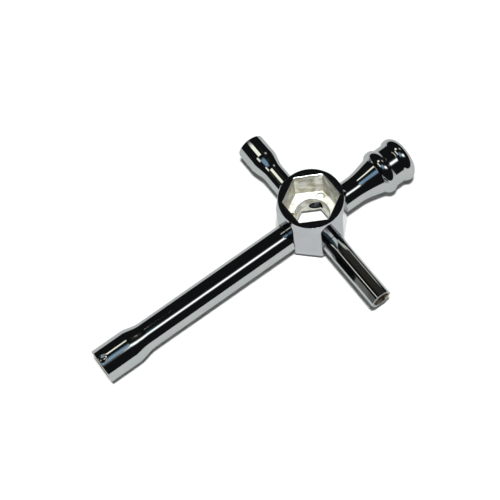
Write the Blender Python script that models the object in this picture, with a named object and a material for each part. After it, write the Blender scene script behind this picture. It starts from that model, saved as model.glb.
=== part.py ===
"""Cross wrench: an octagonal hub with a large and a small hex socket, and four pressed-in socket arms.

Frame: +Z up along the hub's axis, +X along the beaded arm, +Y along the short round arm.
The origin is at the middle of the wrench's length and width, level with its lowest point,
which is the underside of the beads. All lengths are in metres.
"""
import math
from collections import namedtuple

import bmesh
import bpy
from mathutils import Matrix, Vector

MM = 0.001
ROUNDING_SLACK = 1e-9
SHARP_EDGE_DEG = 25.0

# A hexagonal socket: its size across flats, depth, lead-in at the mouth, and the bore behind it
Socket = namedtuple("Socket", "flats depth lead_in bore bore_end turn_deg", defaults=(0.0,))

# Hub: an octagonal prism, arms on four of its flats, hex sockets from above and below
HUB_ACROSS_FLATS = 22.8 * MM
HUB_HEIGHT = 21.6 * MM
ARM_PLANE_ABOVE_BASE = 5.5 * MM
RIM_DIAMETER = 22.4 * MM
RIM_CHAMFER_DEG = 62.0
BASE_CHAMFER = 0.3 * MM
TOP_SOCKET_FLATS = 17.0 * MM
TOP_SOCKET_DEPTH = 12.0 * MM
TOP_SOCKET_CHAMFER = 0.3 * MM
BASE_SOCKET_FLATS = 12.0 * MM
BASE_SOCKET_DEPTH = 8.2 * MM
WEB_HOLE_DIAMETER = 11.8 * MM
HUB_POINTS = 96

# Hub details: a hole drilled in from the flat between two arms, and the round mark of an ejector pin
CROSS_HOLE_DIAMETER = 5.0 * MM
CROSS_HOLE_DEG = 42.5
CROSS_HOLE_DROP = 1.8 * MM
EJECTOR_MARK_DIAMETER = 2.9 * MM
EJECTOR_MARK_DEPTH = 0.4 * MM
EJECTOR_MARK_RADIUS = 7.3 * MM
EJECTOR_MARK_DEGREES = (30.0, 150.0, 270.0)
CUTTER_POINTS = 24
CUTTER_EXTRA = 2 * MM

# Arms: each ends in a double-D tang that sits in a matching blind pocket in the hub.
# Every reach, start, end and centre along an arm is measured from the hub's axis.
FIT_GAP = 0.3 * MM
TANG_LENGTH = 3.6 * MM
TANG_DIAMETER = 6.6 * MM
TANG_ACROSS_FLATS = 5.4 * MM
SHOULDER = HUB_ACROSS_FLATS / 2 + FIT_GAP
ARM_POINTS = 36
MOUTH_EDGE = 0.4 * MM
SOCKET_FLOOR_SLOPE = 0.5 * MM
DRILL_POINT_DEG = 59.0
DRILL_TIP_SHARE = 0.1

# Long arm (-X): a round tube that swells to an 8 mm socket, with a grip dent near its mouth
LONG_REACH = 89.0 * MM
LONG_TUBE_DIAMETER = 10.0 * MM
LONG_HEAD_DIAMETER = 12.4 * MM
LONG_SWELL_START = 70.5 * MM
LONG_SWELL_END = 77.5 * MM
LONG_SOCKET = Socket(flats=8.0 * MM, depth=12.0 * MM, lead_in=0.3 * MM, bore=7.0 * MM, bore_end=20.0 * MM)
DENT_DIAMETER = 2.9 * MM
DENT_DEPTH = 0.35 * MM
DENT_FROM_MOUTH = 1.9 * MM
DENT_TILT_DEG = -4.0

# Beaded arm (+X): a neck, a cone and two round beads with a groove between them, 10 mm socket
BEADED_REACH = 40.0 * MM
BEADED_NECK_DIAMETER = 10.0 * MM
BEADED_CONE_START = 20.2 * MM
BEADED_CONE_END_DIAMETER = 13.7 * MM
BEAD_DIAMETER = 16.6 * MM
BEAD_SECTION_RADIUS = 2.7 * MM
INNER_BEAD_CENTRE = 29.75 * MM
OUTER_BEAD_CENTRE = 37.4 * MM
BEADED_GROOVE_DIAMETER = 14.85 * MM
BEADED_LIP_DIAMETER = 13.9 * MM
BEADED_SOCKET = Socket(flats=10.0 * MM, depth=12.0 * MM, lead_in=0.3 * MM, bore=6.0 * MM, bore_end=20.0 * MM)

# Short round arm (+Y): a thin neck that swells to a 7 mm socket
ROUND_REACH = 37.1 * MM
ROUND_NECK_DIAMETER = 7.9 * MM
ROUND_HEAD_DIAMETER = 10.3 * MM
ROUND_SWELL_START = 23.0 * MM
ROUND_SWELL_END = 29.5 * MM
ROUND_SOCKET = Socket(flats=7.0 * MM, depth=8.0 * MM, lead_in=0.3 * MM, bore=4.8 * MM, bore_end=20.0 * MM)

# Hex arm (-Y): a round tube pressed to a round-cornered hexagon around a 5.5 mm socket
HEX_REACH = 38.3 * MM
HEX_ROOT_DIAMETER = 7.9 * MM
HEX_ACROSS_FLATS = 7.4 * MM
HEX_CORNER_RADIUS = 1.6 * MM
HEX_TURN_DEG = -8.0
HEX_FORM_START = 12.2 * MM
HEX_FORM_END = 19.0 * MM
HEX_MOUTH_EDGE = 0.15 * MM
HEX_SOCKET = Socket(
    flats=5.7 * MM,
    depth=14.0 * MM,
    lead_in=0.0,
    bore=5.0 * MM,
    bore_end=18.0 * MM,
    turn_deg=HEX_TURN_DEG,
)

# Hub axis and arm plane in the part's frame
HUB_X = (LONG_REACH - BEADED_REACH) / 2
HUB_Y = (HEX_REACH - ROUND_REACH) / 2
ARM_PLANE_Z = BEAD_DIAMETER / 2
HUB_BASE_Z = ARM_PLANE_Z - ARM_PLANE_ABOVE_BASE
HUB_TOP_Z = HUB_BASE_Z + HUB_HEIGHT


def clear_scene():
    for item in list(bpy.data.objects):
        bpy.data.objects.remove(item, do_unlink=True)


def metal(name, colour, roughness):
    """A metallic Principled material with one colour and roughness."""
    material = bpy.data.materials.new(name)
    material.use_nodes = True
    shader = material.node_tree.nodes["Principled BSDF"]
    shader.inputs["Base Color"].default_value = (*colour, 1.0)
    shader.inputs["Metallic"].default_value = 1.0
    shader.inputs["Roughness"].default_value = roughness
    return material


def circle(diameter):
    """Outline of a circle, as radius against angle."""
    return lambda angle: diameter / 2


def polygon(across_flats, sides, corner_radius=0.0, first_flat=0.0):
    """Outline of a regular polygon with rounded corners and one flat's normal at first_flat."""
    half_pitch = math.pi / sides
    inner = across_flats / 2 - corner_radius
    centre = inner / math.cos(half_pitch)
    flat_half_width = inner * math.tan(half_pitch)

    def radius(angle):
        turned = (angle - first_flat + half_pitch) % (2 * half_pitch) - half_pitch
        if across_flats / 2 * math.tan(abs(turned)) <= flat_half_width + ROUNDING_SLACK:
            return across_flats / 2 / math.cos(turned)
        to_corner = half_pitch - abs(turned)
        offset = centre * math.sin(to_corner)
        return centre * math.cos(to_corner) + math.sqrt(corner_radius**2 - offset**2)

    return radius


def double_d(diameter, across_flats):
    """Outline of a round bar with two opposite flats, facing up and down."""
    def radius(angle):
        facing = max(abs(math.cos(angle)), ROUNDING_SLACK)
        return min(diameter / 2, across_flats / 2 / facing)

    return radius


def narrower(first, second):
    return lambda angle: min(first(angle), second(angle))


def wider(first, second):
    return lambda angle: max(first(angle), second(angle))


def blended(first, second, share):
    return lambda angle: first(angle) * (1 - share) + second(angle) * share


def smooth_step(value):
    value = min(max(value, 0.0), 1.0)
    return value * value * (3 - 2 * value)


def add_ring(mesh, station, outline, points):
    """One ring of vertices around local Z, at a station and with a given outline."""
    ring = []
    for index in range(points):
        angle = 2 * math.pi * index / points
        radius = outline(angle)
        ring.append(mesh.verts.new((radius * math.cos(angle), radius * math.sin(angle), station)))
    return ring


def join_rings(mesh, first, second):
    count = len(first)
    for index in range(count):
        following = (index + 1) % count
        mesh.faces.new((first[index], first[following], second[following], second[index]))


def add_object(name, mesh, material):
    data = bpy.data.meshes.new(name)
    mesh.to_mesh(data)
    mesh.free()
    if material:
        data.materials.append(material)
    data.shade_smooth()
    data.set_sharp_from_angle(angle=math.radians(SHARP_EDGE_DEG))
    item = bpy.data.objects.new(name, data)
    bpy.context.scene.collection.objects.link(item)
    return item


def closed_loft(name, sections, points, material):
    """A solid whose skin runs through the sections in turn, with a fan of faces at each end."""
    mesh = bmesh.new()
    rings = [add_ring(mesh, station, outline, points) for station, outline in sections]
    for first, second in zip(rings, rings[1:]):
        join_rings(mesh, first, second)
    for ring in (rings[0][::-1], rings[-1]):
        tip = mesh.verts.new(sum((vertex.co for vertex in ring), Vector()) / points)
        for index in range(points):
            mesh.faces.new((ring[index], ring[(index + 1) % points], tip))
    return add_object(name, mesh, material)


def looped_loft(name, sections, points, material):
    """A solid with a through hole: the skin runs through the sections and back to the first."""
    mesh = bmesh.new()
    rings = [add_ring(mesh, station, outline, points) for station, outline in sections]
    for first, second in zip(rings, rings[1:] + rings[:1]):
        join_rings(mesh, first, second)
    return add_object(name, mesh, material)


def cut(item, cutter):
    """Take the cutter's shape out of an object, and leave the cutter as a hidden guide."""
    cutter.hide_render = True
    cutter.display_type = "WIRE"
    change = item.modifiers.new(cutter.name, "BOOLEAN")
    change.operation = "DIFFERENCE"
    change.solver = "EXACT"
    change.object = cutter


def aim_along_arm(item, direction):
    """Turn an object made along local Z so that it lies along an arm, with local X up."""
    up = Vector((0, 0, 1))
    side = direction.cross(up)
    turn = Matrix((up, side, direction)).transposed()
    item.rotation_euler = turn.to_euler()
    item.location = (HUB_X, HUB_Y, ARM_PLANE_Z)


def tang_sections():
    """The double-D tang, from its tip in the hub out to the arm's shoulder."""
    outline = double_d(TANG_DIAMETER, TANG_ACROSS_FLATS)
    return [(SHOULDER - TANG_LENGTH, outline), (SHOULDER, outline)]


def socket_sections(reach, socket, cone_steps=4):
    """The inside of a socket from its mouth: lead-in cone, hexagon, bore and drilled end."""
    hexagon = polygon(socket.flats, 6, first_flat=math.radians(socket.turn_deg))
    mouth_diameter = socket.flats / math.cos(math.pi / 6) + 2 * socket.lead_in
    cone_drop = (mouth_diameter - socket.flats) / 2
    sections = []
    for step in range(cone_steps + 1):
        drop = cone_drop * step / cone_steps
        sections.append((reach - drop, wider(hexagon, circle(mouth_diameter - 2 * drop))))
    floor = reach - socket.depth
    sections.append((floor, hexagon))
    sections.append((floor - SOCKET_FLOOR_SLOPE, circle(socket.bore)))
    sections.append((socket.bore_end, circle(socket.bore)))
    point_length = socket.bore / 2 * (1 - DRILL_TIP_SHARE) / math.tan(math.radians(DRILL_POINT_DEG))
    sections.append((socket.bore_end - point_length, circle(socket.bore * DRILL_TIP_SHARE)))
    return sections


def swelling_sections(neck, head, swell_start, swell_end, reach, steps=7):
    """A neck that swells smoothly to a wider head, which runs on to a mouth with a broken edge."""
    sections = [(SHOULDER, circle(neck))]
    for step in range(steps + 1):
        share = step / steps
        station = swell_start + (swell_end - swell_start) * share
        sections.append((station, circle(neck + (head - neck) * smooth_step(share))))
    sections.append((reach - MOUTH_EDGE, circle(head)))
    sections.append((reach, circle(head - 2 * MOUTH_EDGE)))
    return sections


def build_arm(name, direction, outer, reach, socket, material):
    sections = tang_sections() + outer + socket_sections(reach, socket)
    arm = closed_loft(name, sections, ARM_POINTS, material)
    aim_along_arm(arm, direction)
    return arm


def cut_dent(item, direction):
    """A shallow round dent in the upper side of the long arm, just behind its mouth."""
    ball_radius = ((DENT_DIAMETER / 2) ** 2 + DENT_DEPTH**2) / (2 * DENT_DEPTH)
    mesh = bmesh.new()
    bmesh.ops.create_icosphere(mesh, subdivisions=4, radius=ball_radius)
    ball = add_object("dent_cutter", mesh, None)
    tilt = math.radians(DENT_TILT_DEG)
    height = LONG_HEAD_DIAMETER / 2 - DENT_DEPTH + ball_radius
    across = Vector((0, -math.sin(tilt), math.cos(tilt)))
    hub = Vector((HUB_X, HUB_Y, ARM_PLANE_Z))
    ball.location = hub + direction * (LONG_REACH - DENT_FROM_MOUTH) + across * height
    cut(item, ball)


def build_long_arm(material):
    direction = Vector((-1, 0, 0))
    outer = swelling_sections(
        LONG_TUBE_DIAMETER, LONG_HEAD_DIAMETER, LONG_SWELL_START, LONG_SWELL_END, LONG_REACH
    )
    arm = build_arm("long_socket_arm", direction, outer, LONG_REACH, LONG_SOCKET, material)
    cut_dent(arm, direction)


def bead_sections(centre, start_diameter, end_diameter, steps=7):
    """The arc of one bead, from the diameter where it starts to the one where it ends."""
    ring_radius = BEAD_DIAMETER / 2 - BEAD_SECTION_RADIUS
    start = -math.acos((start_diameter / 2 - ring_radius) / BEAD_SECTION_RADIUS)
    end = math.acos((end_diameter / 2 - ring_radius) / BEAD_SECTION_RADIUS)
    sections = []
    for step in range(steps + 1):
        angle = start + (end - start) * step / steps
        station = centre + BEAD_SECTION_RADIUS * math.sin(angle)
        sections.append((station, circle(2 * (ring_radius + BEAD_SECTION_RADIUS * math.cos(angle)))))
    return sections


def build_beaded_arm(material):
    neck = circle(BEADED_NECK_DIAMETER)
    outer = [(SHOULDER, neck), (BEADED_CONE_START, neck)]
    outer += bead_sections(INNER_BEAD_CENTRE, BEADED_CONE_END_DIAMETER, BEADED_GROOVE_DIAMETER)
    outer += bead_sections(OUTER_BEAD_CENTRE, BEADED_GROOVE_DIAMETER, BEADED_LIP_DIAMETER)
    outer.append((BEADED_REACH, circle(BEADED_LIP_DIAMETER - MOUTH_EDGE)))
    build_arm("beaded_socket_arm", Vector((1, 0, 0)), outer, BEADED_REACH, BEADED_SOCKET, material)


def build_round_arm(material):
    outer = swelling_sections(
        ROUND_NECK_DIAMETER, ROUND_HEAD_DIAMETER, ROUND_SWELL_START, ROUND_SWELL_END, ROUND_REACH
    )
    build_arm("round_socket_arm", Vector((0, 1, 0)), outer, ROUND_REACH, ROUND_SOCKET, material)


def build_hex_arm(material, steps=5):
    """A round root that turns into a round-cornered hexagon with one flat nearly facing up."""
    root = circle(HEX_ROOT_DIAMETER)
    first_flat = math.radians(HEX_TURN_DEG)
    hexagon = polygon(HEX_ACROSS_FLATS, 6, HEX_CORNER_RADIUS, first_flat)
    outer = [(SHOULDER, root)]
    for step in range(steps + 1):
        share = step / steps
        station = HEX_FORM_START + (HEX_FORM_END - HEX_FORM_START) * share
        outer.append((station, blended(root, hexagon, smooth_step(share))))
    outer.append((HEX_REACH - HEX_MOUTH_EDGE, hexagon))
    mouth_flats = HEX_ACROSS_FLATS - 2 * HEX_MOUTH_EDGE
    mouth = polygon(mouth_flats, 6, HEX_CORNER_RADIUS - HEX_MOUTH_EDGE, first_flat)
    outer.append((HEX_REACH, mouth))
    build_arm("hex_socket_arm", Vector((0, -1, 0)), outer, HEX_REACH, HEX_SOCKET, material)


def hub_sections(chamfer_steps=4):
    """The hub's skin, from its base up the outside, over the rim and down through both sockets."""
    octagon = polygon(HUB_ACROSS_FLATS, 8)
    top_hexagon = polygon(TOP_SOCKET_FLATS, 6)
    base_hexagon = polygon(BASE_SOCKET_FLATS, 6)
    corner_diameter = HUB_ACROSS_FLATS / math.cos(math.pi / 8)
    rim_slope = math.tan(math.radians(RIM_CHAMFER_DEG))
    chamfer_drop = (corner_diameter - RIM_DIAMETER) / 2 * rim_slope
    base_outline = polygon(HUB_ACROSS_FLATS - 2 * BASE_CHAMFER, 8)
    sections = [(0.0, base_outline), (BASE_CHAMFER, octagon)]
    for step in range(chamfer_steps, -1, -1):
        drop = chamfer_drop * step / chamfer_steps
        cone = circle(RIM_DIAMETER + 2 * drop / rim_slope)
        sections.append((HUB_HEIGHT - drop, narrower(octagon, cone)))
    floor = HUB_HEIGHT - TOP_SOCKET_DEPTH
    sections.append((HUB_HEIGHT, polygon(TOP_SOCKET_FLATS + 2 * TOP_SOCKET_CHAMFER, 6)))
    sections.append((HUB_HEIGHT - TOP_SOCKET_CHAMFER, top_hexagon))
    sections.append((floor, top_hexagon))
    sections.append((floor, circle(WEB_HOLE_DIAMETER)))
    sections.append((BASE_SOCKET_DEPTH, circle(WEB_HOLE_DIAMETER)))
    sections.append((BASE_SOCKET_DEPTH, base_hexagon))
    sections.append((BASE_CHAMFER, base_hexagon))
    sections.append((0.0, polygon(BASE_SOCKET_FLATS + 2 * BASE_CHAMFER, 6)))
    return sections


def cut_tang_pocket(hub, name, direction):
    """A blind double-D pocket, wider than the tang by the fit gap on every side."""
    outline = double_d(TANG_DIAMETER + 2 * FIT_GAP, TANG_ACROSS_FLATS + 2 * FIT_GAP)
    floor = SHOULDER - TANG_LENGTH - FIT_GAP
    outside = SHOULDER + CUTTER_EXTRA
    pocket = closed_loft(name, [(floor, outline), (outside, outline)], CUTTER_POINTS, None)
    aim_along_arm(pocket, direction)
    cut(hub, pocket)


def cut_cross_hole(hub):
    """A round hole from the flat between the beaded and the short round arm into the base socket."""
    bearing = math.radians(CROSS_HOLE_DEG)
    direction = Vector((math.cos(bearing), math.sin(bearing), 0))
    outline = circle(CROSS_HOLE_DIAMETER)
    inside = BASE_SOCKET_FLATS / 2 - CUTTER_EXTRA
    outside = HUB_ACROSS_FLATS / 2 + CUTTER_EXTRA
    hole = closed_loft("cross_hole_cutter", [(inside, outline), (outside, outline)], CUTTER_POINTS, None)
    aim_along_arm(hole, direction)
    hole.location.z -= CROSS_HOLE_DROP
    cut(hub, hole)


def cut_ejector_marks(hub):
    """Shallow round marks in the floor of the top socket, one at every other corner."""
    floor = HUB_TOP_Z - TOP_SOCKET_DEPTH
    outline = circle(EJECTOR_MARK_DIAMETER)
    for degrees in EJECTOR_MARK_DEGREES:
        bearing = math.radians(degrees)
        span = [(-EJECTOR_MARK_DEPTH, outline), (CUTTER_EXTRA, outline)]
        mark = closed_loft(f"ejector_mark_cutter_{degrees:.0f}", span, CUTTER_POINTS, None)
        mark.location = (
            HUB_X + EJECTOR_MARK_RADIUS * math.cos(bearing),
            HUB_Y + EJECTOR_MARK_RADIUS * math.sin(bearing),
            floor,
        )
        cut(hub, mark)


def build_hub(material):
    hub = looped_loft("hub", hub_sections(), HUB_POINTS, material)
    hub.location = (HUB_X, HUB_Y, HUB_BASE_Z)
    directions = {"long": (-1, 0, 0), "beaded": (1, 0, 0), "round": (0, 1, 0), "hex": (0, -1, 0)}
    for name, direction in directions.items():
        cut_tang_pocket(hub, f"{name}_pocket_cutter", Vector(direction))
    cut_cross_hole(hub)
    cut_ejector_marks(hub)


def main():
    clear_scene()
    plated_casting = metal("plated_casting", (0.72, 0.73, 0.75), 0.10)
    chrome_plate = metal("chrome_plate", (0.75, 0.76, 0.78), 0.05)
    build_hub(plated_casting)
    build_long_arm(chrome_plate)
    build_beaded_arm(chrome_plate)
    build_round_arm(chrome_plate)
    build_hex_arm(chrome_plate)


main()
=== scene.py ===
"""Looks of the small cross-shaped lug wrench: fine meshes, plated metal, floor, light and camera.

Frame: metres, +Z up along the hub's axis, +X along the beaded arm, +Y along the short round arm.
Each arm is built along its own local Z, measured from the hub's axis, and then laid in place.
"""
import math
from collections import namedtuple

import bmesh
import bpy
from mathutils import Matrix, Vector


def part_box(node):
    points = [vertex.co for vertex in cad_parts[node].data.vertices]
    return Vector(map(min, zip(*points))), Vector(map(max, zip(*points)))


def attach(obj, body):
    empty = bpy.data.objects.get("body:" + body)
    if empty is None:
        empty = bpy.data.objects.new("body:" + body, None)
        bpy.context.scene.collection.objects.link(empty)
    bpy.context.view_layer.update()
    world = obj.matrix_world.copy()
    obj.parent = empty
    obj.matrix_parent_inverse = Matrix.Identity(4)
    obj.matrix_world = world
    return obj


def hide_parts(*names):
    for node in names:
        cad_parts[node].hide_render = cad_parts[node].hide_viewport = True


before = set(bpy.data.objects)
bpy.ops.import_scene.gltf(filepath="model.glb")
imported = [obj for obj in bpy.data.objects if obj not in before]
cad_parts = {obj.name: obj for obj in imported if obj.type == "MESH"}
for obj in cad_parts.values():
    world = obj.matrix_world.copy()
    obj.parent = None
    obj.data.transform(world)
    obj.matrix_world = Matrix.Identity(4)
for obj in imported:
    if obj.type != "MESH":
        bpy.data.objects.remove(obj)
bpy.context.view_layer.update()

MM = 0.001
TINY = 1e-9
BODY = "root"

# ---------------------------------------------------------------- sizes read from the CAD frame

HUB_LOW, HUB_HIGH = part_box("hub")
HUB_AXIS = (HUB_LOW + HUB_HIGH) / 2
HUB_FLAT = (HUB_HIGH.x - HUB_LOW.x) / 2
HUB_BASE = HUB_LOW.z
HUB_TOP = HUB_HIGH.z
LONG_LOW, LONG_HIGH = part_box("long_socket_arm")
BEADED_LOW, BEADED_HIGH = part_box("beaded_socket_arm")
ROUND_LOW, ROUND_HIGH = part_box("round_socket_arm")
HEX_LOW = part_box("hex_socket_arm")[0]
ARM_PLANE = (LONG_LOW.z + LONG_HIGH.z) / 2
CENTRE = Vector((HUB_AXIS.x, HUB_AXIS.y, ARM_PLANE))
LONG_REACH = CENTRE.x - LONG_LOW.x
BEADED_REACH = BEADED_HIGH.x - CENTRE.x
ROUND_REACH = ROUND_HIGH.y - CENTRE.y
HEX_REACH = CENTRE.y - HEX_LOW.y
LONG_HEAD_RADIUS = (LONG_HIGH.z - LONG_LOW.z) / 2
BEAD_RADIUS = (BEADED_HIGH.z - BEADED_LOW.z) / 2
ROUND_HEAD_RADIUS = (ROUND_HIGH.z - ROUND_LOW.z) / 2

# ---------------------------------------------------------------- sizes that the boxes don't give

# A hexagonal socket: width across flats, depth, width of the lead-in cone, diameter of the bore
# behind it, where the bore ends (from the hub's axis), and the hexagon's turn.
Socket = namedtuple("Socket", "flats depth lead_in bore bore_end turn_deg", defaults=(0.0,))

# Hub
RIM_RADIUS = 11.2 * MM
RIM_CHAMFER_DEG = 62.0
RIM_ROUNDING = 0.05 * MM
RIM_BLEND = 0.16 * MM
RIM_BLEND_DROP = 0.4 * MM
HUB_SIDES = 8
HUB_CORNER_RADIUS = 0.8 * MM
BASE_CHAMFER = 0.3 * MM
TOP_SOCKET_FLATS = 17.0 * MM
TOP_SOCKET_DEPTH = 12.0 * MM
TOP_SOCKET_CHAMFER = 0.2 * MM
TOP_SOCKET_FILLET = 0.2 * MM
BASE_SOCKET_FLATS = 12.0 * MM
BASE_SOCKET_DEPTH = 8.2 * MM
HUB_SOCKET_CORNER_RADIUS = 0.15 * MM
WEB_HOLE_RADIUS = 5.9 * MM
WEB_HOLE_ROUNDING = 0.35 * MM
CROSS_HOLE_RADIUS = 2.5 * MM
CROSS_HOLE_DEG = 42.5
CROSS_HOLE_DROP = 1.8 * MM
CROSS_HOLE_FLARE = 0.2 * MM
EJECTOR_MARK_RADIUS = 1.45 * MM
EJECTOR_MARK_DEPTH = 0.4 * MM
EJECTOR_MARK_FROM_AXIS = 7.3 * MM
EJECTOR_MARK_DEGREES = (30.0, 150.0, 270.0)

# What every arm has
TANG_LENGTH = 3.6 * MM
TANG_DIAMETER = 6.6 * MM
TANG_ACROSS_FLATS = 5.4 * MM
TANG_GAP = 0.3 * MM
SHOULDER_GAP = 0.02 * MM
SHOULDER_CHAMFER = 0.14 * MM
SHOULDER = HUB_FLAT + SHOULDER_GAP
SOCKET_FLOOR_SLOPE = 0.5 * MM
DRILL_POINT_DEG = 59.0
DRILL_TIP_SHARE = 0.1
MOUTH_ROUNDING = 0.45 * MM

# Long arm
LONG_TUBE_RADIUS = 5.0 * MM
LONG_SWELL = (70.5 * MM, 77.5 * MM)
LONG_SOCKET = Socket(8.0 * MM, 12.0 * MM, 0.3 * MM, 7.0 * MM, 20.0 * MM)
DENT_RADIUS = 1.45 * MM
DENT_DEPTH = 0.35 * MM
DENT_FROM_MOUTH = 1.9 * MM
DENT_TILT_DEG = -4.0

# Beaded arm
BEADED_NECK_RADIUS = 5.0 * MM
BEADED_CONE_START = 20.2 * MM
BEADED_CONE_SLOPE = 0.26
BEADED_CONE_BEND = 3.0 * MM
BEADED_BEND_ZONE = (16.5 * MM, 24.5 * MM)
BEADED_CONE_ZONE_START = 25.0 * MM
BEAD_SECTION_RADIUS = 2.7 * MM
BEAD_CENTRES = (29.75 * MM, 37.4 * MM)
BEAD_BLEND = 0.35 * MM
BEADED_GROOVE_RADIUS = 7.425 * MM
BEADED_LIP_RADIUS = 6.95 * MM
LIP_BEVEL_RUN = 0.6  # these three are shares of the lip's own length
LIP_BEVEL_DROP = 0.4
LIP_MOUTH_DROP = 1.2
BEADED_SOCKET = Socket(10.0 * MM, 12.0 * MM, 0.3 * MM, 6.0 * MM, 20.0 * MM)

# Short round arm
ROUND_NECK_RADIUS = 3.95 * MM
ROUND_SWELL = (23.0 * MM, 29.5 * MM)
ROUND_SOCKET = Socket(7.0 * MM, 8.0 * MM, 0.3 * MM, 4.8 * MM, 20.0 * MM)

# Hexagonal arm
HEX_ROOT_RADIUS = 3.95 * MM
HEX_ACROSS_FLATS = 7.4 * MM
HEX_CORNER_RADIUS = 1.6 * MM
HEX_TURN_DEG = -8.0
HEX_FORM = (12.2 * MM, 19.0 * MM)
HEX_MOUTH_EDGE = 0.15 * MM
HEX_SOCKET = Socket(5.7 * MM, 14.0 * MM, 0.0, 5.0 * MM, 18.0 * MM, HEX_TURN_DEG)

# Meshes
ARM_POINTS = 144
HUB_POINTS = 360
CUTTER_POINTS = 72
CUTTER_OVERRUN = 1.0 * MM
DENT_POINT_SPACING_DEG = 0.8
DENT_POINT_REACH_DEG = 22.0
DENT_ZONE_MARGIN = 1.4 * DENT_RADIUS
MOUTH_ZONE_MARGIN = 1.2 * MOUTH_ROUNDING
SHARP_EDGE_DEG = 32.0


# ---------------------------------------------------------------- outlines: radius against angle

def circle(radius):
    return lambda angle: radius


def polygon(across_flats, sides, corner_radius=0.0, first_flat=0.0):
    """A regular polygon with rounded corners and the middle of one flat at angle first_flat."""
    half_pitch = math.pi / sides
    inner = across_flats / 2 - corner_radius
    centre = inner / math.cos(half_pitch)
    flat_half_width = inner * math.tan(half_pitch)

    def radius(angle):
        turned = (angle - first_flat + half_pitch) % (2 * half_pitch) - half_pitch
        if across_flats / 2 * math.tan(abs(turned)) <= flat_half_width + TINY:
            return across_flats / 2 / math.cos(turned)
        to_corner = half_pitch - abs(turned)
        offset = centre * math.sin(to_corner)
        return centre * math.cos(to_corner) + math.sqrt(corner_radius**2 - offset**2)

    return radius


def double_d(diameter, across_flats):
    """A circle with two flats, which face local X."""
    def radius(angle):
        facing = max(abs(math.cos(angle)), TINY)
        return min(diameter / 2, across_flats / 2 / facing)

    return radius


def wider(first, second):
    """The greater of two outlines."""
    return lambda angle: max(first(angle), second(angle))


def blended(first, second, share):
    """An outline part of the way from the first to the second."""
    return lambda angle: first(angle) * (1 - share) + second(angle) * share


def softly_narrower(first, second, softness):
    """The lesser of two outlines, with the edge between them rounded."""
    return lambda angle: soft_least(first(angle), second(angle), softness)


# ---------------------------------------------------------------- small shape helpers

def soft_least(first, second, softness):
    """The lesser of two values, eased a little lower where they are close."""
    overlap = max(softness - abs(first - second), 0.0) / softness
    return min(first, second) - overlap * overlap * softness / 4


def soft_greatest(first, second, softness):
    """The greater of two values, eased a little higher where they are close."""
    return -soft_least(-first, -second, softness)


def smooth_step(value):
    """0 to 1 with level ends."""
    value = min(max(value, 0.0), 1.0)
    return value * value * (3 - 2 * value)


def spread(first, last, steps):
    """Evenly spaced values from first to last, both included."""
    return [first + (last - first) * step / steps for step in range(steps + 1)]


def quarter_round(station, radius, rounding):
    """A rounded outer edge that ends on a flat face at the given station."""
    sections = []
    for angle in spread(0.0, math.pi / 2, steps=8):
        reach = station - rounding * (1 - math.sin(angle))
        width = radius - rounding * (1 - math.cos(angle))
        sections.append((reach, circle(width)))
    return sections


# ---------------------------------------------------------------- lofts

def ring_angles(points, corners=(), spacing_deg=0.25, reach_deg=2.0):
    """Even angles in radians, with more of them close to each corner, which is in degrees."""
    degrees = {round(360.0 * index / points, 4) for index in range(points)}
    for corner in corners:
        steps = int(reach_deg / spacing_deg)
        for step in range(-steps, steps + 1):
            degrees.add(round((corner + step * spacing_deg) % 360.0, 4))
    return [math.radians(value) for value in sorted(degrees)]


def loft(name, sections, angles, looped=False):
    """A skin through the sections; its ends are closed by fans, or joined when it is looped."""
    mesh = bmesh.new()
    rings = []
    for station, outline in sections:
        radii = [outline(angle) for angle in angles]
        rings.append([
            mesh.verts.new((radius * math.cos(angle), radius * math.sin(angle), station))
            for radius, angle in zip(radii, angles)
        ])
    count = len(angles)
    following_rings = rings[1:] + rings[:1] if looped else rings[1:]
    for first, second in zip(rings, following_rings):
        for index in range(count):
            after = (index + 1) % count
            mesh.faces.new((first[index], first[after], second[after], second[index]))
    if not looped:
        for ring in (rings[0][::-1], rings[-1]):
            tip = mesh.verts.new(sum((vertex.co for vertex in ring), Vector()) / count)
            for index in range(count):
                mesh.faces.new((ring[index], ring[(index + 1) % count], tip))
    data = bpy.data.meshes.new(name)
    mesh.to_mesh(data)
    mesh.free()
    item = bpy.data.objects.new(name, data)
    bpy.context.scene.collection.objects.link(item)
    return item


def shade(item, *materials):
    """Give the item its materials, smooth faces and sharp edges."""
    item.data.materials.clear()
    for material in materials:
        item.data.materials.append(material)
    item.data.shade_smooth()
    item.data.set_sharp_from_angle(angle=math.radians(SHARP_EDGE_DEG))


def arm_frame(direction):
    """Local Z along the arm and local X up, from the point where the arm's axis meets the hub's."""
    up = Vector((0, 0, 1))
    turn = Matrix((up, direction.cross(up), direction)).transposed()
    return Matrix.Translation(CENTRE) @ turn.to_4x4()


def cut_out(item, cutters):
    """Take the cutters' shapes out of an item for good, and remove the cutters."""
    for cutter in cutters:
        change = item.modifiers.new(cutter.name, "BOOLEAN")
        change.operation = "DIFFERENCE"
        change.solver = "EXACT"
        change.object = cutter
    bpy.context.view_layer.update()
    evaluated = item.evaluated_get(bpy.context.evaluated_depsgraph_get())
    data = bpy.data.meshes.new_from_object(evaluated)
    item.modifiers.clear()
    item.data = data
    for cutter in cutters:
        bpy.data.objects.remove(cutter, do_unlink=True)


# ---------------------------------------------------------------- arms

def tang_sections(arm_radius):
    """The double-D tang, and a shoulder whose broken edge leaves a fine groove at the hub."""
    outline = double_d(TANG_DIAMETER, TANG_ACROSS_FLATS)
    return [
        (SHOULDER - TANG_LENGTH, outline),
        (SHOULDER, outline),
        (SHOULDER, circle(arm_radius - SHOULDER_CHAMFER)),
        (SHOULDER + SHOULDER_CHAMFER, circle(arm_radius)),
    ]


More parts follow.
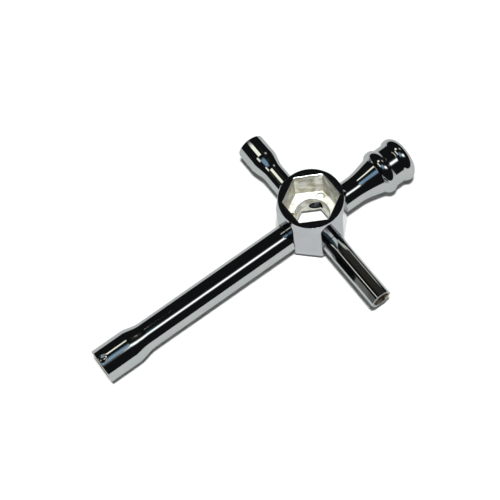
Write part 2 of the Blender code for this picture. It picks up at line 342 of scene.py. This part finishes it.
def socket_sections(reach, socket):
    """The inside of a socket from its mouth: lead-in cone, hexagon, bore and drilled end."""
    hexagon = polygon(socket.flats, 6, first_flat=math.radians(socket.turn_deg))
    mouth = socket.flats / 2 / math.cos(math.pi / 6) + socket.lead_in
    cone_drop = mouth - socket.flats / 2
    sections = []
    for drop in spread(0.0, cone_drop, steps=8):
        sections.append((reach - drop, wider(hexagon, circle(mouth - drop))))
    floor = reach - socket.depth
    sections.append((floor, hexagon))
    sections.append((floor - SOCKET_FLOOR_SLOPE, circle(socket.bore / 2)))
    sections.append((socket.bore_end, circle(socket.bore / 2)))
    point = socket.bore / 2 * (1 - DRILL_TIP_SHARE) / math.tan(math.radians(DRILL_POINT_DEG))
    sections.append((socket.bore_end - point, circle(socket.bore / 2 * DRILL_TIP_SHARE)))
    return sections


def swelling_sections(neck, head, swell):
    """A round neck that swells smoothly to a head."""
    sections = []
    for station in spread(swell[0], swell[1], steps=28):
        share = (station - swell[0]) / (swell[1] - swell[0])
        sections.append((station, circle(neck + (head - neck) * smooth_step(share))))
    return sections


def press_dent(item):
    """Press a shallow round dent into the upper side of the long arm's head."""
    tilt = math.radians(DENT_TILT_DEG)
    across = Vector((math.cos(tilt), math.sin(tilt), 0.0))
    ball_radius = (DENT_RADIUS**2 + DENT_DEPTH**2) / (2 * DENT_DEPTH)
    ball = across * (LONG_HEAD_RADIUS - DENT_DEPTH + ball_radius)
    ball.z = LONG_REACH - DENT_FROM_MOUTH
    for vertex in item.data.vertices:
        from_ball = vertex.co - ball
        near = from_ball.length < ball_radius + DENT_DEPTH
        outside = math.hypot(vertex.co.x, vertex.co.y) > LONG_HEAD_RADIUS - MOUTH_ROUNDING
        if near and outside:
            push = soft_greatest(ball_radius - from_ball.length, 0.0, DENT_DEPTH / 2)
            vertex.co += across * -push


def build_long_arm():
    sections = tang_sections(LONG_TUBE_RADIUS)
    sections += swelling_sections(LONG_TUBE_RADIUS, LONG_HEAD_RADIUS, LONG_SWELL)
    dent_zone = LONG_REACH - DENT_FROM_MOUTH - DENT_ZONE_MARGIN
    for station in spread(dent_zone, LONG_REACH - MOUTH_ZONE_MARGIN, steps=36):
        sections.append((station, circle(LONG_HEAD_RADIUS)))
    sections += quarter_round(LONG_REACH, LONG_HEAD_RADIUS, MOUTH_ROUNDING)
    sections += socket_sections(LONG_REACH, LONG_SOCKET)
    dent_points = (DENT_POINT_SPACING_DEG, DENT_POINT_REACH_DEG)
    angles = ring_angles(ARM_POINTS, (DENT_TILT_DEG,), *dent_points)
    arm = loft("long_arm_fine", sections, angles)
    press_dent(arm)
    arm.matrix_world = arm_frame(Vector((-1, 0, 0)))
    return arm


def beaded_radius(station):
    """Radius of the beaded arm: neck, cone, groove between the beads, and the two beads."""
    cone = BEADED_NECK_RADIUS + max(station - BEADED_CONE_START, 0.0) * BEADED_CONE_SLOPE
    if abs(station - BEADED_CONE_START) < BEADED_CONE_BEND:
        run = station - BEADED_CONE_START + BEADED_CONE_BEND
        cone = BEADED_NECK_RADIUS + BEADED_CONE_SLOPE * run * run / (4 * BEADED_CONE_BEND)
    radius = cone if station < BEAD_CENTRES[0] else BEADED_GROOVE_RADIUS
    ring_radius = BEAD_RADIUS - BEAD_SECTION_RADIUS
    for centre in BEAD_CENTRES:
        offset = abs(station - centre)
        if offset < BEAD_SECTION_RADIUS:
            bead = ring_radius + math.sqrt(BEAD_SECTION_RADIUS**2 - offset**2)
            radius = soft_greatest(radius, bead, BEAD_BLEND)
    return min(radius, BEAD_RADIUS)


def build_beaded_arm():
    sections = tang_sections(BEADED_NECK_RADIUS)
    lip_angle = math.acos((BEADED_LIP_RADIUS - BEAD_RADIUS) / BEAD_SECTION_RADIUS + 1)
    lip = BEAD_CENTRES[1] + BEAD_SECTION_RADIUS * math.sin(lip_angle)
    stations = spread(*BEADED_BEND_ZONE, steps=24)
    stations += spread(BEADED_CONE_ZONE_START, BEAD_CENTRES[1], steps=130)
    sections += [(station, circle(beaded_radius(station))) for station in stations]
    ring_radius = BEAD_RADIUS - BEAD_SECTION_RADIUS
    for angle in spread(0.0, lip_angle, steps=16)[1:]:
        station = BEAD_CENTRES[1] + BEAD_SECTION_RADIUS * math.sin(angle)
        sections.append((station, circle(ring_radius + BEAD_SECTION_RADIUS * math.cos(angle))))
    edge = BEADED_REACH - lip
    bevel = circle(BEADED_LIP_RADIUS - edge * LIP_BEVEL_DROP)
    sections.append((lip + edge * LIP_BEVEL_RUN, bevel))
    sections.append((BEADED_REACH, circle(BEADED_LIP_RADIUS - edge * LIP_MOUTH_DROP)))
    sections += socket_sections(BEADED_REACH, BEADED_SOCKET)
    arm = loft("beaded_arm_fine", sections, ring_angles(ARM_POINTS))
    arm.matrix_world = arm_frame(Vector((1, 0, 0)))
    return arm


def build_round_arm():
    sections = tang_sections(ROUND_NECK_RADIUS)
    sections += swelling_sections(ROUND_NECK_RADIUS, ROUND_HEAD_RADIUS, ROUND_SWELL)
    sections += quarter_round(ROUND_REACH, ROUND_HEAD_RADIUS, MOUTH_ROUNDING)
    sections += socket_sections(ROUND_REACH, ROUND_SOCKET)
    arm = loft("round_arm_fine", sections, ring_angles(ARM_POINTS))
    arm.matrix_world = arm_frame(Vector((0, 1, 0)))
    return arm


def build_hex_arm():
    root = circle(HEX_ROOT_RADIUS)
    first_flat = math.radians(HEX_TURN_DEG)
    hexagon = polygon(HEX_ACROSS_FLATS, 6, HEX_CORNER_RADIUS, first_flat)
    sections = tang_sections(HEX_ROOT_RADIUS)
    for share in spread(0.0, 1.0, steps=20):
        station = HEX_FORM[0] + (HEX_FORM[1] - HEX_FORM[0]) * share
        sections.append((station, blended(root, hexagon, smooth_step(share))))
    for angle in spread(0.0, math.pi / 2, steps=5):
        inset = HEX_MOUTH_EDGE * (1 - math.cos(angle))
        outline = polygon(HEX_ACROSS_FLATS - 2 * inset, 6, HEX_CORNER_RADIUS - inset, first_flat)
        sections.append((HEX_REACH - HEX_MOUTH_EDGE * (1 - math.sin(angle)), outline))
    sections += socket_sections(HEX_REACH, HEX_SOCKET)
    arm = loft("hex_arm_fine", sections, ring_angles(ARM_POINTS))
    arm.matrix_world = arm_frame(Vector((0, -1, 0)))
    return arm


# ---------------------------------------------------------------- hub

def hub_hexagon(across_flats):
    return polygon(across_flats, 6, HUB_SOCKET_CORNER_RADIUS)


def rim_sections(height, flats):
    """The hub's outside, from its base to the flat top of the rim."""
    octagon = polygon(flats, HUB_SIDES, HUB_CORNER_RADIUS)
    turn = math.radians(RIM_CHAMFER_DEG)
    slope = math.tan(turn)
    corner = HUB_FLAT / math.cos(math.pi / HUB_SIDES)
    chamfer_drop = (corner - RIM_RADIUS) * slope
    sections = []
    for inset in spread(BASE_CHAMFER, 0.0, steps=4):
        outline = polygon(flats - 2 * inset, HUB_SIDES, HUB_CORNER_RADIUS)
        sections.append((BASE_CHAMFER - inset, outline))
    rounding_foot = RIM_ROUNDING * (1 - math.cos(turn))
    for drop in spread(chamfer_drop + RIM_BLEND_DROP, rounding_foot, steps=26):
        cone = circle(RIM_RADIUS + drop / slope)
        sections.append((height - drop, softly_narrower(octagon, cone, RIM_BLEND)))
    crown = RIM_RADIUS - RIM_ROUNDING * math.tan(turn / 2)
    for angle in spread(turn, 0.0, steps=10)[1:]:
        sink = RIM_ROUNDING * (1 - math.cos(angle))
        sections.append((height - sink, circle(crown + RIM_ROUNDING * math.sin(angle))))
    return sections


def top_socket_sections(height, floor):
    """The large socket: its rounded entry, its walls and the fillet at its floor."""
    sections = []
    entry_flats = TOP_SOCKET_FLATS + 2 * TOP_SOCKET_CHAMFER
    for share in spread(0.0, 1.0, steps=4):
        inset = TOP_SOCKET_CHAMFER * math.sin(share * math.pi / 2)
        sink = TOP_SOCKET_CHAMFER * (1 - math.cos(share * math.pi / 2))
        sections.append((height - sink, hub_hexagon(entry_flats - 2 * inset)))
    walls = spread(height - TOP_SOCKET_CHAMFER, floor + TOP_SOCKET_FILLET, steps=10)[1:]
    sections += [(station, hub_hexagon(TOP_SOCKET_FLATS)) for station in walls]
    for angle in spread(0.0, math.pi / 2, steps=4)[1:]:
        inset = TOP_SOCKET_FILLET * (1 - math.cos(angle))
        sink = TOP_SOCKET_FILLET * (1 - math.sin(angle))
        sections.append((floor + sink, hub_hexagon(TOP_SOCKET_FLATS - 2 * inset)))
    return sections


def hub_sections():
    """The hub's skin above its base: up the outside, over the rim and down through both sockets."""
    height = HUB_TOP - HUB_BASE
    floor = height - TOP_SOCKET_DEPTH
    sections = rim_sections(height, 2 * HUB_FLAT) + top_socket_sections(height, floor)
    for angle in spread(0.0, math.pi / 2, steps=6):
        width = WEB_HOLE_RADIUS + WEB_HOLE_ROUNDING * (1 - math.sin(angle))
        sections.append((floor - WEB_HOLE_ROUNDING * (1 - math.cos(angle)), circle(width)))
    base_hexagon = hub_hexagon(BASE_SOCKET_FLATS)
    sections.append((BASE_SOCKET_DEPTH, circle(WEB_HOLE_RADIUS)))
    sections.append((BASE_SOCKET_DEPTH, base_hexagon))
    sections.append((BASE_CHAMFER, base_hexagon))
    sections.append((0.0, hub_hexagon(BASE_SOCKET_FLATS + 2 * BASE_CHAMFER)))
    return sections


def pocket_cutter(direction):
    """The blind pocket that an arm's tang sits in."""
    outline = double_d(TANG_DIAMETER + 2 * TANG_GAP, TANG_ACROSS_FLATS + 2 * TANG_GAP)
    floor = SHOULDER - TANG_LENGTH - TANG_GAP
    sections = [(floor, outline), (HUB_FLAT + CUTTER_OVERRUN, outline)]
    cutter = loft("pocket_cutter", sections, ring_angles(CUTTER_POINTS))
    cutter.matrix_world = arm_frame(Vector(direction))
    return cutter


def cross_hole_cutter():
    """A drilled hole with a broken edge on the outer flat."""
    bearing = math.radians(CROSS_HOLE_DEG)
    flare = CROSS_HOLE_FLARE
    sections = [
        (BASE_SOCKET_FLATS / 2 - 2 * CUTTER_OVERRUN, circle(CROSS_HOLE_RADIUS)),
        (HUB_FLAT - flare, circle(CROSS_HOLE_RADIUS)),
        (HUB_FLAT + flare, circle(CROSS_HOLE_RADIUS + 2 * flare)),
    ]
    cutter = loft("cross_hole_cutter", sections, ring_angles(CUTTER_POINTS))
    place = arm_frame(Vector((math.cos(bearing), math.sin(bearing), 0)))
    cutter.matrix_world = Matrix.Translation((0, 0, -CROSS_HOLE_DROP)) @ place
    return cutter


def ejector_mark_cutter(degrees):
    """A shallow round mark in the floor of the large socket."""
    bearing = math.radians(degrees)
    outline = circle(EJECTOR_MARK_RADIUS)
    sections = [(-EJECTOR_MARK_DEPTH, outline), (CUTTER_OVERRUN, outline)]
    cutter = loft("ejector_mark_cutter", sections, ring_angles(CUTTER_POINTS))
    floor = HUB_TOP - TOP_SOCKET_DEPTH
    from_axis = Vector((math.cos(bearing), math.sin(bearing), 0)) * EJECTOR_MARK_FROM_AXIS
    cutter.location = Vector((HUB_AXIS.x, HUB_AXIS.y, floor)) + from_axis
    return cutter


def corner_degrees(sides):
    return [(180.0 + 360.0 * index) / sides for index in range(sides)]


def build_hub():
    angles = ring_angles(HUB_POINTS, corner_degrees(HUB_SIDES) + corner_degrees(6))
    hub = loft("hub_fine", hub_sections(), angles, looped=True)
    hub.location = (HUB_AXIS.x, HUB_AXIS.y, HUB_BASE)
    cutters = [pocket_cutter(way) for way in ((-1, 0, 0), (1, 0, 0), (0, 1, 0), (0, -1, 0))]
    cutters.append(cross_hole_cutter())
    cutters += [ejector_mark_cutter(degrees) for degrees in EJECTOR_MARK_DEGREES]
    cut_out(hub, cutters)
    return hub


# ---------------------------------------------------------------- materials

Noise = namedtuple("Noise", "scale detail")
Finish = namedtuple("Finish", "colour tint roughness roughness_range")

CHROME = Finish((0.405, 0.422, 0.418), (0.375, 0.395, 0.398), 0.035, 0.05)
PLATED_CASTING = Finish((0.42, 0.428, 0.44), (0.39, 0.395, 0.415), 0.045, 0.06)
CASTING_INSIDE = Finish((0.80, 0.80, 0.775), (0.46, 0.43, 0.32), 0.40, 0.25)
SOCKET_INSIDE = Finish((0.48, 0.42, 0.35), (0.34, 0.28, 0.21), 0.40, 0.25)
EDGE_TINT = (0.68, 0.70, 0.70)

PLATE_CLOUDS = Noise(160.0, 3.0)
PLATE_CLOUD_STOPS = (0.35, 0.7)
PLATE_STREAKS = Noise(1.0, 2.0)
PLATE_STREAK_STRETCH = (9000.0, 9000.0, 300.0)
PLATE_STREAK_RANGE = (0.3, 0.8)
PLATE_RIPPLES = Noise(260.0, 2.0)
PLATE_RIPPLE_HEIGHT = 0.01 * MM
CAST_CLOUDS = Noise(420.0, 6.0)
CAST_CLOUD_STOPS = (0.38, 0.66)
CAST_GRAINS = Noise(2600.0, 3.0)
CAST_GRAIN_HEIGHT = 0.04 * MM

BORE_SLACK = 0.02 * MM
ARM_SOCKET_SLACK = 0.05 * MM
HUB_SOCKET_SLACK = 0.03 * MM
INSIDE_MARGIN = 1.0 * MM


def add_node(tree, kind, **inputs):
    """A shader node with some of its sockets set, by socket name with _ for each space."""
    node = tree.nodes.new(kind)
    for name, value in inputs.items():
        node.inputs[name.replace("_", " ")].default_value = value
    return node


def noise(tree, vector, pattern):
    node = add_node(tree, "ShaderNodeTexNoise", Scale=pattern.scale, Detail=pattern.detail)
    tree.links.new(vector, node.inputs["Vector"])
    return node.outputs["Fac"]


def mapped(tree, value, given, wanted, interpolation="LINEAR"):
    """A value with the given range brought to the wanted range."""
    ranges = {"From_Min": given[0], "From_Max": given[1], "To_Min": wanted[0], "To_Max": wanted[1]}
    node = add_node(tree, "ShaderNodeMapRange", **ranges)
    node.interpolation_type = interpolation
    tree.links.new(value, node.inputs["Value"])
    return node.outputs["Result"]


def bump(tree, shader, pattern, height):
    node = add_node(tree, "ShaderNodeBump", Strength=1.0, Distance=height)
    tree.links.new(pattern, node.inputs["Height"])
    tree.links.new(node.outputs["Normal"], shader.inputs["Normal"])


def cloudy_metal(name, finish, clouds, stops):
    """A metal whose colour drifts from the finish's colour to its tint in soft clouds."""
    material = bpy.data.materials.new(name)
    material.use_nodes = True
    tree = material.node_tree
    shader = tree.nodes["Principled BSDF"]
    shader.inputs["Metallic"].default_value = 1.0
    shader.inputs["Specular Tint"].default_value = (*EDGE_TINT, 1.0)
    place = tree.nodes.new("ShaderNodeTexCoord").outputs["Object"]
    drift = noise(tree, place, clouds)
    ramp = tree.nodes.new("ShaderNodeValToRGB")
    for index, colour in enumerate((finish.colour, finish.tint)):
        ramp.color_ramp.elements[index].position = stops[index]
        ramp.color_ramp.elements[index].color = (*colour, 1.0)
    tree.links.new(drift, ramp.inputs["Fac"])
    tree.links.new(ramp.outputs["Color"], shader.inputs["Base Color"])
    return material, tree, shader, place, drift


def roughness_ends(finish):
    return finish.roughness, finish.roughness + finish.roughness_range


def plated_metal(name, finish):
    """Bright plating: cloudy tint, fine grain along local Z and faint ripples."""
    material, tree, shader, place, _ = cloudy_metal(name, finish, PLATE_CLOUDS, PLATE_CLOUD_STOPS)
    stretch = tree.nodes.new("ShaderNodeMapping")
    stretch.inputs["Scale"].default_value = PLATE_STREAK_STRETCH
    tree.links.new(place, stretch.inputs["Vector"])
    streaks = noise(tree, stretch.outputs["Vector"], PLATE_STREAKS)
    rough = mapped(tree, streaks, PLATE_STREAK_RANGE, roughness_ends(finish))
    tree.links.new(rough, shader.inputs["Roughness"])
    bump(tree, shader, noise(tree, place, PLATE_RIPPLES), PLATE_RIPPLE_HEIGHT)
    return material


def cast_inside(name, finish):
    """The satin, slightly grainy metal inside the sockets, where plating runs thin."""
    material, tree, shader, place, drift = cloudy_metal(name, finish, CAST_CLOUDS, CAST_CLOUD_STOPS)
    rough = mapped(tree, drift, (0.0, 1.0), roughness_ends(finish))
    tree.links.new(rough, shader.inputs["Roughness"])
    bump(tree, shader, noise(tree, place, CAST_GRAINS), CAST_GRAIN_HEIGHT)
    return material


def mark_arm_inside(arm, socket):
    """Give the faces inside an arm's socket and bore the second material."""
    widest = socket.flats / 2 / math.cos(math.pi / 6) + socket.lead_in
    mouth = max(vertex.co.z for vertex in arm.data.vertices)
    for face in arm.data.polygons:
        from_axis = math.hypot(face.center.x, face.center.y)
        past_tang = face.center.z > SHOULDER + INSIDE_MARGIN
        past_floor = face.center.z > mouth - socket.depth - INSIDE_MARGIN
        in_bore = past_tang and from_axis < socket.bore / 2 + BORE_SLACK
        in_socket = past_floor and from_axis < widest - ARM_SOCKET_SLACK
        face.material_index = int(in_bore or in_socket)


def mark_hub_inside(hub):
    """Give the faces inside the hub's sockets the second material."""
    top = polygon(TOP_SOCKET_FLATS, 6)
    below = polygon(BASE_SOCKET_FLATS, 6)
    height = HUB_TOP - HUB_BASE
    floor = height - TOP_SOCKET_DEPTH
    slack = HUB_SOCKET_SLACK
    for face in hub.data.polygons:
        middle = face.center
        angle = math.atan2(middle.y, middle.x)
        wall = top(angle) if middle.z > floor - slack else below(angle)
        within = math.hypot(middle.x, middle.y) < wall + slack
        face.material_index = int(within and slack < middle.z < height - TOP_SOCKET_CHAMFER)


# ---------------------------------------------------------------- stage

FLOOR_COLOUR = (0.86, 0.86, 0.86)
FLOOR_ROUGHNESS = 0.9
SHEET_HALF = 3.0
CAMERA_AIM = Vector((0.27, 4.56, 8.3)) * MM
CAMERA_BEARING_DEG = -115.454
CAMERA_ELEVATION_DEG = 65.224
CAMERA_DISTANCE = 448.1 * MM
CAMERA_ROLL_DEG = 11.526
CAMERA_LENS_MM = 93.21

# Soft panels that the metal mirrors: tilt from straight up towards +X and +Y, half size, and
# width of the soft edges, in degrees, then colour and strength.
Panel = namedtuple("Panel", "tilt half_size edges colour strength")
PANELS = (
    Panel((20.3, -20.0), (14.5, 6.0), (1.5, 8.5), (1.0, 1.0, 0.98), 2.6),
    Panel((-8.0, 26.2), (12.0, 4.2), (1.5, 3.0), (1.0, 0.98, 0.82), 2.2),
    Panel((-36.0, 13.0), (7.0, 11.0), (1.5, 3.5), (1.0, 0.97, 0.84), 1.8),
    Panel((18.0, -19.0), (20.0, 11.0), (12.0, 12.0), (0.9, 0.98, 1.0), 0.17),
    Panel((40.0, 20.5), (7.0, 5.0), (2.5, 2.5), (1.0, 0.97, 0.9), 0.9),
    Panel((30.0, 17.0), (6.0, 10.0), (8.0, 8.0), (1.0, 0.85, 0.6), 0.035),
    Panel((-12.0, -9.0), (17.0, 10.0), (3.0, 12.0), (0.42, 0.68, 0.95), 0.8),
)
SURROUNDINGS = (0.012, 0.013, 0.014)
SWEEP_BEARING_DEG = 117.0
SWEEP_RISE_DEG = 1.0
SWEEP_EDGE = (-0.05, 0.03)
SWEEP_COLOUR = (1.0, 1.0, 1.0)
BACKDROP_COLOUR = (0.95, 0.95, 0.95)
FILL_COLOUR = (1.0, 1.0, 1.0)
FILL_STRENGTH = 0.09
LEAST_DEPTH = 0.001
LAMP_TILT = (-4.2, -9.6)
LAMP_DISTANCE = 1.20
LAMP_SIZE = 0.15
LAMP_POWER = 18.0
LAMP_COLOUR = (0.985, 1.0, 0.99)


def build_floor():
    """A sheet of pale paper that the beads and the end of the long arm rest on."""
    bead_foot = Vector((CENTRE.x + BEAD_CENTRES[1], CENTRE.y, BEADED_LOW.z))
    head_foot = Vector((LONG_LOW.x + MOUTH_ROUNDING, CENTRE.y, LONG_LOW.z))
    fall = (bead_foot.z - head_foot.z) / (bead_foot.x - head_foot.x)
    data = bpy.data.meshes.new("floor")
    corners = []
    for across, along_y in ((-1, -1), (1, -1), (1, 1), (-1, 1)):
        x = across * SHEET_HALF
        corners.append(Vector((x, along_y * SHEET_HALF, bead_foot.z + (x - bead_foot.x) * fall)))
    data.from_pydata(corners, [], [(0, 1, 2, 3)])
    floor = bpy.data.objects.new("floor", data)
    bpy.context.scene.collection.objects.link(floor)
    paper = bpy.data.materials.new("floor_paper")
    paper.use_nodes = True
    shader = paper.node_tree.nodes["Principled BSDF"]
    shader.inputs["Base Color"].default_value = (*FLOOR_COLOUR, 1.0)
    shader.inputs["Roughness"].default_value = FLOOR_ROUGHNESS
    shader.inputs["Specular IOR Level"].default_value = 0.0
    data.materials.append(paper)


def tilted(across_deg, along_deg):
    """A direction near straight up, tilted towards +X and towards +Y."""
    across = math.tan(math.radians(across_deg))
    ahead = math.tan(math.radians(along_deg))
    return Vector((across, ahead, 1)).normalized()


def maths(tree, operation, *values):
    """A maths node on values, each of which is a number or another node's output."""
    node = tree.nodes.new("ShaderNodeMath")
    node.operation = operation
    for socket, value in zip(node.inputs, values):
        if isinstance(value, float):
            socket.default_value = value
        else:
            tree.links.new(value, socket)
    return node.outputs[0]


def along(tree, vector, axis):
    """How far a vector reaches along an axis."""
    node = tree.nodes.new("ShaderNodeVectorMath")
    node.operation = "DOT_PRODUCT"
    node.inputs[1].default_value = axis
    tree.links.new(vector, node.inputs[0])
    return node.outputs["Value"]


def panel_mask(tree, sight, panel):
    """1 inside a rectangle of the dome above, falling softly to 0 at its edges."""
    middle = tilted(*panel.tilt)
    side = Vector((0, 1, 0)).cross(middle).normalized()
    upright = middle.cross(side)
    depth = maths(tree, "MAXIMUM", along(tree, sight, middle), LEAST_DEPTH)
    masks = []
    for axis, half_deg, edge_deg in zip((side, upright), panel.half_size, panel.edges):
        offset = maths(tree, "DIVIDE", along(tree, sight, axis), depth)
        distance = maths(tree, "ABSOLUTE", offset)
        half = math.tan(math.radians(half_deg))
        edge = math.tan(math.radians(edge_deg))
        ends = (half - edge / 2, half + edge / 2)
        masks.append(mapped(tree, distance, ends, (1.0, 0.0), "SMOOTHSTEP"))
    return maths(tree, "MULTIPLY", *masks)


def sweep_mask(tree, sight):
    """1 below a plane that rises away from the camera, where the pale backdrop curves up."""
    bearing = math.radians(SWEEP_BEARING_DEG)
    rise = math.radians(SWEEP_RISE_DEG)
    upright = Vector((
        -math.sin(rise) * math.cos(bearing),
        -math.sin(rise) * math.sin(bearing),
        math.cos(rise),
    ))
    return mapped(tree, along(tree, sight, upright), SWEEP_EDGE, (1.0, 0.0))


def background(tree, colour, strength=1.0):
    """Light of one colour from all round; its strength is a number or another node's output."""
    node = add_node(tree, "ShaderNodeBackground", Color=(*colour, 1.0))
    if isinstance(strength, float):
        node.inputs["Strength"].default_value = strength
    else:
        tree.links.new(strength, node.inputs["Strength"])
    return node.outputs[0]


def joined(tree, kind, *inputs):
    """Shaders put together by an add node, or by a mix node whose first input is its share."""
    node = tree.nodes.new(kind)
    for socket, value in zip(node.inputs, inputs):
        tree.links.new(value, socket)
    return node.outputs[0]


def build_world():
    """Even light on everything that scatters; dark surroundings with soft panels for the metal."""
    world = bpy.data.worlds.new("studio")
    bpy.context.scene.world = world
    world.use_nodes = True
    tree = world.node_tree
    tree.nodes.clear()
    rays = tree.nodes.new("ShaderNodeLightPath").outputs
    sight = tree.nodes.new("ShaderNodeTexCoord").outputs["Generated"]
    room = background(tree, SURROUNDINGS)
    for panel in PANELS:
        strength = maths(tree, "MULTIPLY", panel_mask(tree, sight, panel), panel.strength)
        glow = background(tree, panel.colour, strength)
        room = joined(tree, "ShaderNodeAddShader", room, glow)
    mix = "ShaderNodeMixShader"
    room = joined(tree, mix, sweep_mask(tree, sight), room, background(tree, SWEEP_COLOUR))
    fill = background(tree, FILL_COLOUR, FILL_STRENGTH)
    unseen = joined(tree, mix, rays["Is Glossy Ray"], fill, room)
    backdrop = background(tree, BACKDROP_COLOUR)
    everything = joined(tree, mix, rays["Is Camera Ray"], unseen, backdrop)
    output = tree.nodes.new("ShaderNodeOutputWorld")
    tree.links.new(everything, output.inputs["Surface"])


def build_lamp(not_lit):
    """A small bright lamp above, which lights the sheet and the hub and leaves thin shadows.

    The polished arms are left out of its light, so they mirror only the panels around it.
    """
    light = bpy.data.lights.new("lamp", "AREA")
    light.shape = "DISK"
    light.size = LAMP_SIZE
    light.energy = LAMP_POWER
    light.color = LAMP_COLOUR
    lamp = bpy.data.objects.new("lamp", light)
    bpy.context.scene.collection.objects.link(lamp)
    direction = tilted(*LAMP_TILT)
    lamp.location = CENTRE + direction * LAMP_DISTANCE
    lamp.rotation_euler = direction.to_track_quat("Z", "Y").to_euler()
    left_out = bpy.data.collections.new("not_lit_by_lamp")
    for item in not_lit:
        left_out.objects.link(item)
    for entry in left_out.collection_objects:
        entry.light_linking.link_state = "EXCLUDE"
    lamp.light_linking.receiver_collection = left_out


def build_camera():
    data = bpy.data.cameras.new("camera")
    data.lens = CAMERA_LENS_MM
    data.dof.use_dof = False
    camera = bpy.data.objects.new("camera", data)
    bpy.context.scene.collection.objects.link(camera)
    bearing = math.radians(CAMERA_BEARING_DEG)
    elevation = math.radians(CAMERA_ELEVATION_DEG)
    away = Vector((
        math.cos(elevation) * math.cos(bearing),
        math.cos(elevation) * math.sin(bearing),
        math.sin(elevation),
    ))
    level = away.to_track_quat("Z", "Y").to_matrix().to_4x4()
    roll = Matrix.Rotation(-math.radians(CAMERA_ROLL_DEG), 4, "Z")
    camera.matrix_world = Matrix.Translation(CAMERA_AIM + away * CAMERA_DISTANCE) @ level @ roll
    bpy.context.scene.camera = camera


# ---------------------------------------------------------------- the whole

def show(item, node, slot, *materials):
    """Finish a piece and put it in the place of its CAD node."""
    shade(item, *materials)
    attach(item, BODY)
    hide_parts(node)


def main():
    chrome = plated_metal("chrome_plate", CHROME)
    casting = plated_metal("plated_casting", PLATED_CASTING)
    casting_inside = cast_inside("casting_inside", CASTING_INSIDE)
    socket_inside = cast_inside("socket_inside", SOCKET_INSIDE)
    hub = build_hub()
    show(hub, "hub", "plated_casting", casting, casting_inside)
    mark_hub_inside(hub)
    arms = []
    for arm, node, socket in (
        (build_long_arm(), "long_socket_arm", LONG_SOCKET),
        (build_beaded_arm(), "beaded_socket_arm", BEADED_SOCKET),
        (build_round_arm(), "round_socket_arm", ROUND_SOCKET),
        (build_hex_arm(), "hex_socket_arm", HEX_SOCKET),
    ):
        show(arm, node, "chrome_plate", chrome, socket_inside)
        mark_arm_inside(arm, socket)
        arms.append(arm)
    build_floor()
    build_world()
    build_lamp(arms)
    build_camera()
    bpy.context.scene.view_settings.view_transform = "Standard"


main()
